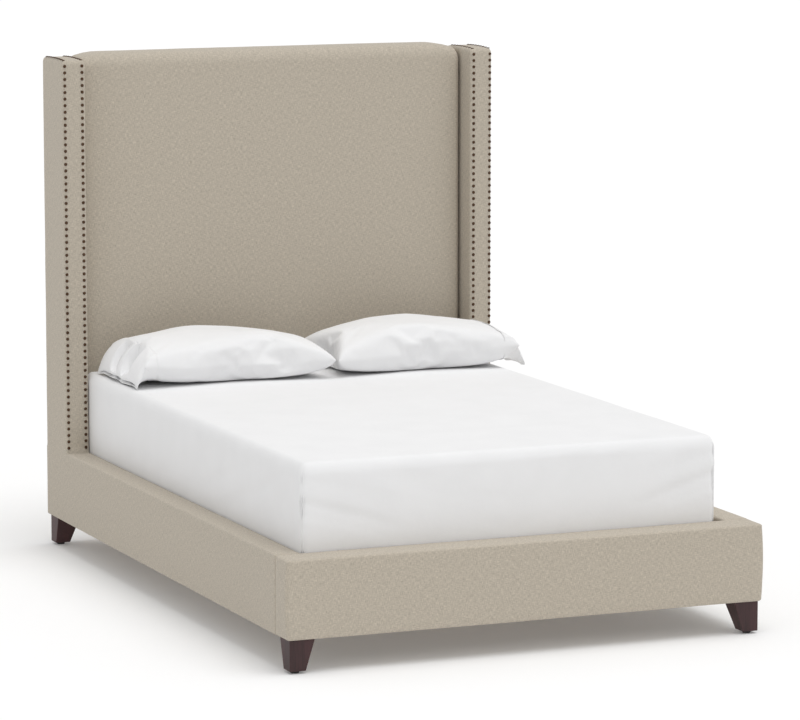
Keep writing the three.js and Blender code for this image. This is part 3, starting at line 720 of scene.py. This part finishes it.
def case_grid(name, seed):
    """Two layers of cloth joined round their edges, slightly apart in the middle."""
    nx, ny = round(CASE_FLAT[0] / CASE_STEP), round(CASE_FLAT[1] / CASE_STEP)
    verts, faces, index = [], [], {}
    for layer in (1, -1):
        for i in range(nx + 1):
            for j in range(ny + 1):
                if layer < 0 and (i in (0, nx) or j in (0, ny)):
                    index[i, j, -1] = index[i, j, 1]
                    continue
                u, v = i / nx * 2 - 1, j / ny * 2 - 1
                lift = layer * CASE_LIFT * (1 - u**4) * (1 - v**4)
                lift += 0.0015 * noise.noise(Vector((u * 6 + seed, v * 5, layer * 3.1)))
                index[i, j, layer] = len(verts)
                verts.append((u * CASE_FLAT[0] / 2, v * CASE_FLAT[1] / 2, lift))
    for layer in (1, -1):
        for i in range(nx):
            for j in range(ny):
                steps = ((i, j), (i + 1, j), (i + 1, j + 1), (i, j + 1))
                quad = [index[a, b, layer] for a, b in steps]
                faces.append(quad if layer > 0 else quad[::-1])
    return new_object(name, verts, faces)


def inflate(obj):
    """Blows the case up as its filling does, and keeps the cloth's final shape."""
    cloth = obj.modifiers.new("cloth", "CLOTH")
    settings = cloth.settings
    settings.quality = 6
    settings.mass = 0.15
    settings.air_damping = 1
    settings.tension_stiffness = 25
    settings.compression_stiffness = 25
    settings.shear_stiffness = 5
    settings.bending_stiffness = 0.3
    settings.use_pressure = True
    settings.uniform_pressure_force = CASE_PRESSURE
    settings.effector_weights.gravity = 0
    cloth.collision_settings.use_collision = False
    cloth.collision_settings.use_self_collision = False
    for step in range(1, CASE_FRAMES + 1):
        bpy.context.scene.frame_set(step)
    depsgraph = bpy.context.evaluated_depsgraph_get()
    blown = bpy.data.meshes.new_from_object(obj.evaluated_get(depsgraph))
    obj.modifiers.clear()
    obj.data = blown
    bpy.context.scene.frame_set(1)


def settle(points, inner_x, outer_x, low, high, crown):
    """The blown case fitted to its place: full shoulders, a flat underside and a raised mouth."""
    seam_z = low.z + SEAM_HEIGHT
    span = points.max(axis=0) - points.min(axis=0)
    middle = (points.max(axis=0) + points.min(axis=0)) / 2
    size = (abs(outer_x - inner_x), high.y - low.y, 2 * (high.z - seam_z))
    points = (points - middle) * (np.array(size) / span)

    rise = points[:, 2]
    above = crown * (np.clip(rise, 0, None) / crown) ** PILLOW_FULLNESS
    rest = MM - SEAM_HEIGHT
    below = rest * np.tanh(rise / rest * PILLOW_FLATNESS)
    points[:, 2] = np.where(rise > 0, above, np.where(rise < 0, below, rise))

    from_mouth = size[0] / 2 - np.sign(outer_x - inner_x) * points[:, 0]
    held = np.clip(1 + points[:, 2] / SEAM_HEIGHT, 0, 1)  # the underside stays on the mattress
    points[:, 2] += MOUTH_LIFT * np.exp(-((from_mouth / MOUTH_REACH) ** 2)) * held
    return points + np.array([(outer_x + inner_x) / 2, (low.y + high.y) / 2, seam_z])


def pillow(side, sign, seed):
    """A filled case whose hemmed mouth faces the bed's side, and its insert."""
    low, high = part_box(f"pillowcase_{side}")
    body = f"pillow_{side}_body"
    obj = case_grid(f"pillow_{side}", seed)
    inflate(obj)
    inner_x = low.x if sign > 0 else high.x
    hem_x = (high.x if sign > 0 else low.x) - sign * HEM_INSET[side]
    outer_x = hem_x - sign * HEM_REACH
    crown = high.z - (low.z + SEAM_HEIGHT) - CROWN_SINK[side]
    shaped = settle(coords(obj), inner_x, outer_x, low, high, crown)
    set_coords(obj, shaped)
    smooth = obj.modifiers.new("smooth", "SUBSURF")
    smooth.levels = 1
    smooth.render_levels = 1
    finish_piece(obj, COTTON, "white_cotton", body, f"pillowcase_{side}")

    hem = hem_sleeve(side, sign, hem_x, obj, seed)
    finish_piece(hem, COTTON, "white_cotton", body)

    faces = [list(f.vertices) for f in obj.data.polygons]
    centre = shaped.mean(axis=0)
    inner = (shaped - centre) * INSERT_SCALE + centre
    insert_low, insert_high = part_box(f"pillow_insert_{side}")
    to_middle = (insert_low + insert_high).x / 2 - inner[:, 0].mean()
    inner[:, 0] += to_middle * INSERT_SHIFT
    insert = new_object(f"pillow_insert_fill_{side}", inner, faces)
    finish_piece(insert, TICKING, "ticking", body, f"pillow_insert_{side}")


def sleeve_faces(sign):
    """Quads of a flat sleeve of two layers, joined along both of its ends."""
    stride = HEM_OUT + 1
    second = (HEM_ACROSS + 1) * stride
    faces = []
    for i in range(HEM_ACROSS):
        for j in range(HEM_OUT):
            a = i * stride + j
            quad = [a, a + stride, a + stride + 1, a + 1]
            faces.append(quad)
            faces.append([q + second for q in quad[::-1]])
    for i in (0, HEM_ACROSS):
        for j in range(HEM_OUT):
            a = i * stride + j
            quad = [a, a + 1, a + 1 + second, a + second]
            faces.append(quad if i == 0 else quad[::-1])
    return faces if sign > 0 else [f[::-1] for f in faces]


def hem_sleeve(side, sign, hem_x, case, seed):
    """The case's open end: a sleeve that leaves the filled case along its slope and falls to the sheet."""
    low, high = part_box(f"pillowcase_{side}")
    points = [Vector(p) for p in coords(case)]
    tree = BVHTree.FromPolygons(points, [list(f.vertices) for f in case.data.polygons])
    root_x = hem_x - sign * HEM_LENGTH
    near = [p for p in points if abs(p.x - root_x) < CASE_STEP]
    seam = sum(p.z for p in near) / len(near)
    front, back = min(p.y for p in near), max(p.y for p in near)
    middle_y, half = (front + back) / 2, (back - front) / 2
    floor = low.z + HEM_GAP

    def surface(x, y, up):
        """The filled case's height at (x, y), on its upper or its lower side."""
        start = Vector((x, y, high.z + 0.1 if up > 0 else low.z - 0.1))
        hit = tree.ray_cast(start, Vector((0, 0, -up)))[0]
        return None if hit is None else hit.z + up * HEM_GAP

    def flow(t, root, rise, mouth):
        """(share of the length, height) at t along a curve from the stitching to the mouth."""
        a, b, c, d = (1 - t) ** 3, 3 * t * (1 - t) ** 2, 3 * t**2 * (1 - t), t**3
        held_up = mouth + (root - mouth) * HEM_PULL
        return b * HEM_PULL + c * HEM_ROUND + d, a * root + b * (root + rise) + c * held_up + d * mouth

    verts = []
    for layer in (1, -1):
        for i in range(HEM_ACROSS + 1):
            s = i / HEM_ACROSS * 2 - 1
            y = middle_y + s * half * HEM_NARROW
            mouth_y = middle_y + s * half
            root = surface(root_x, y, layer) or seam
            ahead = surface(root_x + sign * HEM_AHEAD, y, layer) or root
            length = HEM_LENGTH * (1 + 0.10 * noise.noise(Vector((s * 2.4, seed, 0))))
            rise = (ahead - root) / HEM_AHEAD * length * HEM_PULL
            round_end = max(0.0, 1 - abs(s) ** 4) ** 0.5
            mouth = floor + (layer + 1) / 2 * HEM_OPEN * round_end
            mouth += HEM_WAVE * (1 + noise.noise(Vector((s * 4, seed, 3))))
            for j in range(HEM_OUT + 1):
                t = j / HEM_OUT
                share, z = flow(t, root, rise, mouth)
                x = root_x + sign * length * share
                z += HEM_FLUTTER * t * noise.noise(Vector((s * 3.2 + seed, t * 1.5, 1)))
                body = surface(x, y, layer)
                if body is not None:
                    z = max(z, body) if layer > 0 else min(z, body)
                verts.append((x, y * (1 - t) + mouth_y * t, max(floor, z)))
    stride = HEM_OUT + 1
    second = (HEM_ACROSS + 1) * stride
    for i in (0, HEM_ACROSS):
        for a in range(i * stride, (i + 1) * stride):
            top, bottom = verts[a], verts[second + a]
            level = (top[2] + bottom[2]) / 2
            verts[a] = (*top[:2], level + HEM_GAP)
            verts[second + a] = (*bottom[:2], level)
    obj = new_object(f"pillow_hem_{side}", verts, sleeve_faces(sign))
    shell(obj, HEM_CLOTH, offset=0)
    return obj


# ---- Frame parts that keep their own shape ---------------------------------------------------


def soften(name, width):
    """Takes the sharpness off a rigid node's edges."""
    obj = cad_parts[name]
    weld = obj.modifiers.new("weld", "WELD")
    weld.merge_threshold = 0.01 * MM
    bevel = obj.modifiers.new("edges", "BEVEL")
    bevel.width = width
    bevel.segments = 2
    bevel.limit_method = "ANGLE"
    bevel.angle_limit = math.radians(40)


def dress(name, material, edge):
    """Gives a rigid node its material and softened edges."""
    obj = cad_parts[name]
    obj.data.materials.clear()
    obj.data.materials.append(material)
    soften(name, edge)


def long_axis(name):
    low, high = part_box(name)
    return max(range(3), key=lambda a: (high - low)[a])


def frame_parts():
    """Materials for the boards, slats, legs and hardware, by what each is made of."""
    rules = (
        ("leg_glide", NYLON, 1.0 * MM),
        ("leg_bolt", STEEL, 0.4 * MM),
        ("leg_", ESPRESSO, 1.6 * MM),
        ("rail_bracket", STEEL, 0.6 * MM),
        ("beam_hanger", STEEL, 0.4 * MM),
        ("leveler", STEEL, 0.8 * MM),
        ("headboard_plywood", PLYWOOD, 0.4 * MM),
    )
    standing = [n for n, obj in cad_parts.items() if not obj.hide_render]
    for name in sorted(standing):
        for start, material, edge in rules:
            if name.startswith(start):
                dress(name, material, edge)
                break
        else:
            dress(name, PINE[long_axis(name)], 1.5 * MM)


def bolt_head(centre, out):
    """(vertices, faces) of a hexagon head on a washer."""
    out = Vector(out)
    side = out.orthogonal().normalized()
    over = out.cross(side)
    verts, faces = [], []
    for disc in (WASHER, HEXAGON):
        start, sides = len(verts), disc["sides"]
        for lift in (disc["base"], disc["top"]):
            for k in range(sides):
                turn = 2 * math.pi * k / sides
                away = side * math.cos(turn) + over * math.sin(turn)
                verts.append(centre + out * lift + away * disc["radius"])
        for k in range(sides):
            n = (k + 1) % sides
            faces.append([start + k, start + n, start + sides + n, start + sides + k])
        faces.append([start + sides + k for k in range(sides)])
        faces.append([start + k for k in range(sides)][::-1])
    return verts, faces


def bracket_bolts():
    """Bolts through the steel brackets into the rails, wings and footboard."""
    for end in ENDS:
        for side, sign in SIDES.items():
            low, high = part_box(f"rail_bracket_{end}_{side}")
            wall_x = (high.x if sign > 0 else low.x) - sign * BRACKET_STEEL
            heads = []
            for z in (low.z + (high.z - low.z) * share for share in (0.25, 0.75)):
                if end == "foot":
                    middle_y = (low.y + BRACKET_STEEL + high.y) / 2
                    middle_x = (low.x + high.x) / 2 - sign * BRACKET_STEEL / 2
                    heads.append(bolt_head(Vector((wall_x, middle_y, z)), (-sign, 0, 0)))
                    heads.append(bolt_head(Vector((middle_x, low.y + BRACKET_STEEL, z)), (0, 1, 0)))
                else:
                    for y in (low.y + (high.y - low.y) * share for share in (0.22, 0.78)):
                        heads.append(bolt_head(Vector((wall_x, y, z)), (-sign, 0, 0)))
            obj = merge_into(f"bracket_bolts_{end}_{side}", heads, smooth=False)
            finish_piece(obj, STEEL, "zinc_steel", "bed_frame")


# ---- Studio ----------------------------------------------------------------------------------


def studio():
    """A white floor and sky with one broad soft light, as in the photograph."""
    scene = bpy.context.scene
    scene.view_settings.view_transform = "Standard"

    ground = [(-90, -60, 0), (90, -60, 0), (90, 200, 0), (-90, 200, 0)]
    floor = new_object("floor", ground, [(0, 1, 2, 3)])
    pale = Nodes("floor", roughness=1.0)
    pale.shader.inputs["Specular IOR Level"].default_value = 0.0
    speckle = pale.noise((40, 40, 40), detail=2)
    pale.colour(pale.ramp(speckle, [(0.0, (0.845, 0.845, 0.845)), (1.0, (0.855, 0.855, 0.855))]))
    pale.shader.inputs["Emission Color"].default_value = (1, 1, 1, 1)
    pale.shader.inputs["Emission Strength"].default_value = FLOOR_GLOW
    floor.data.materials.append(pale.material)

    world = bpy.data.worlds.new("studio")
    scene.world = world
    world.use_nodes = True
    tree = world.node_tree
    lit = tree.nodes["Background"]
    lit.inputs["Color"].default_value = (1, 1, 1, 1)
    lit.inputs["Strength"].default_value = SKY_STRENGTH
    seen = tree.nodes.new("ShaderNodeBackground")
    seen.inputs["Color"].default_value = (1, 1, 1, 1)
    seen.inputs["Strength"].default_value = 1.0
    mix = tree.nodes.new("ShaderNodeMixShader")
    path = tree.nodes.new("ShaderNodeLightPath")
    tree.links.new(path.outputs["Is Camera Ray"], mix.inputs["Fac"])
    tree.links.new(lit.outputs[0], mix.inputs[1])
    tree.links.new(seen.outputs[0], mix.inputs[2])
    tree.links.new(mix.outputs[0], tree.nodes["World Output"].inputs["Surface"])

    light = bpy.data.lights.new("soft_sky_panel", "SUN")
    light.energy = SUN_STRENGTH
    light.angle = SUN_SPREAD
    obj = bpy.data.objects.new("soft_sky_panel", light)
    scene.collection.objects.link(obj)
    obj.rotation_euler = SUN_TILT


def camera():
    """The photograph's viewpoint, a long lens in front and to the left of the foot."""
    data = bpy.data.cameras.new("camera")
    data.sensor_width = 36
    data.lens = CAMERA_LENS
    data.clip_end = 500
    obj = bpy.data.objects.new("camera", data)
    bpy.context.scene.collection.objects.link(obj)
    obj.location = CAMERA_PLACE
    obj.rotation_euler = (CAMERA_TILT, 0, CAMERA_TURN)
    bpy.context.scene.camera = obj


# ---- The bed ---------------------------------------------------------------------------------

camera()
studio()
for which, way in SIDES.items():
    side_cover(which, way)
    nail_trim(which, way)
    pillow(which, way, seed=1.0 if way < 0 else 5.0)
footboard_cover()
headboard_panel()
back_cover()
mattress()
fitted_sheet()
frame_parts()
bracket_bolts()
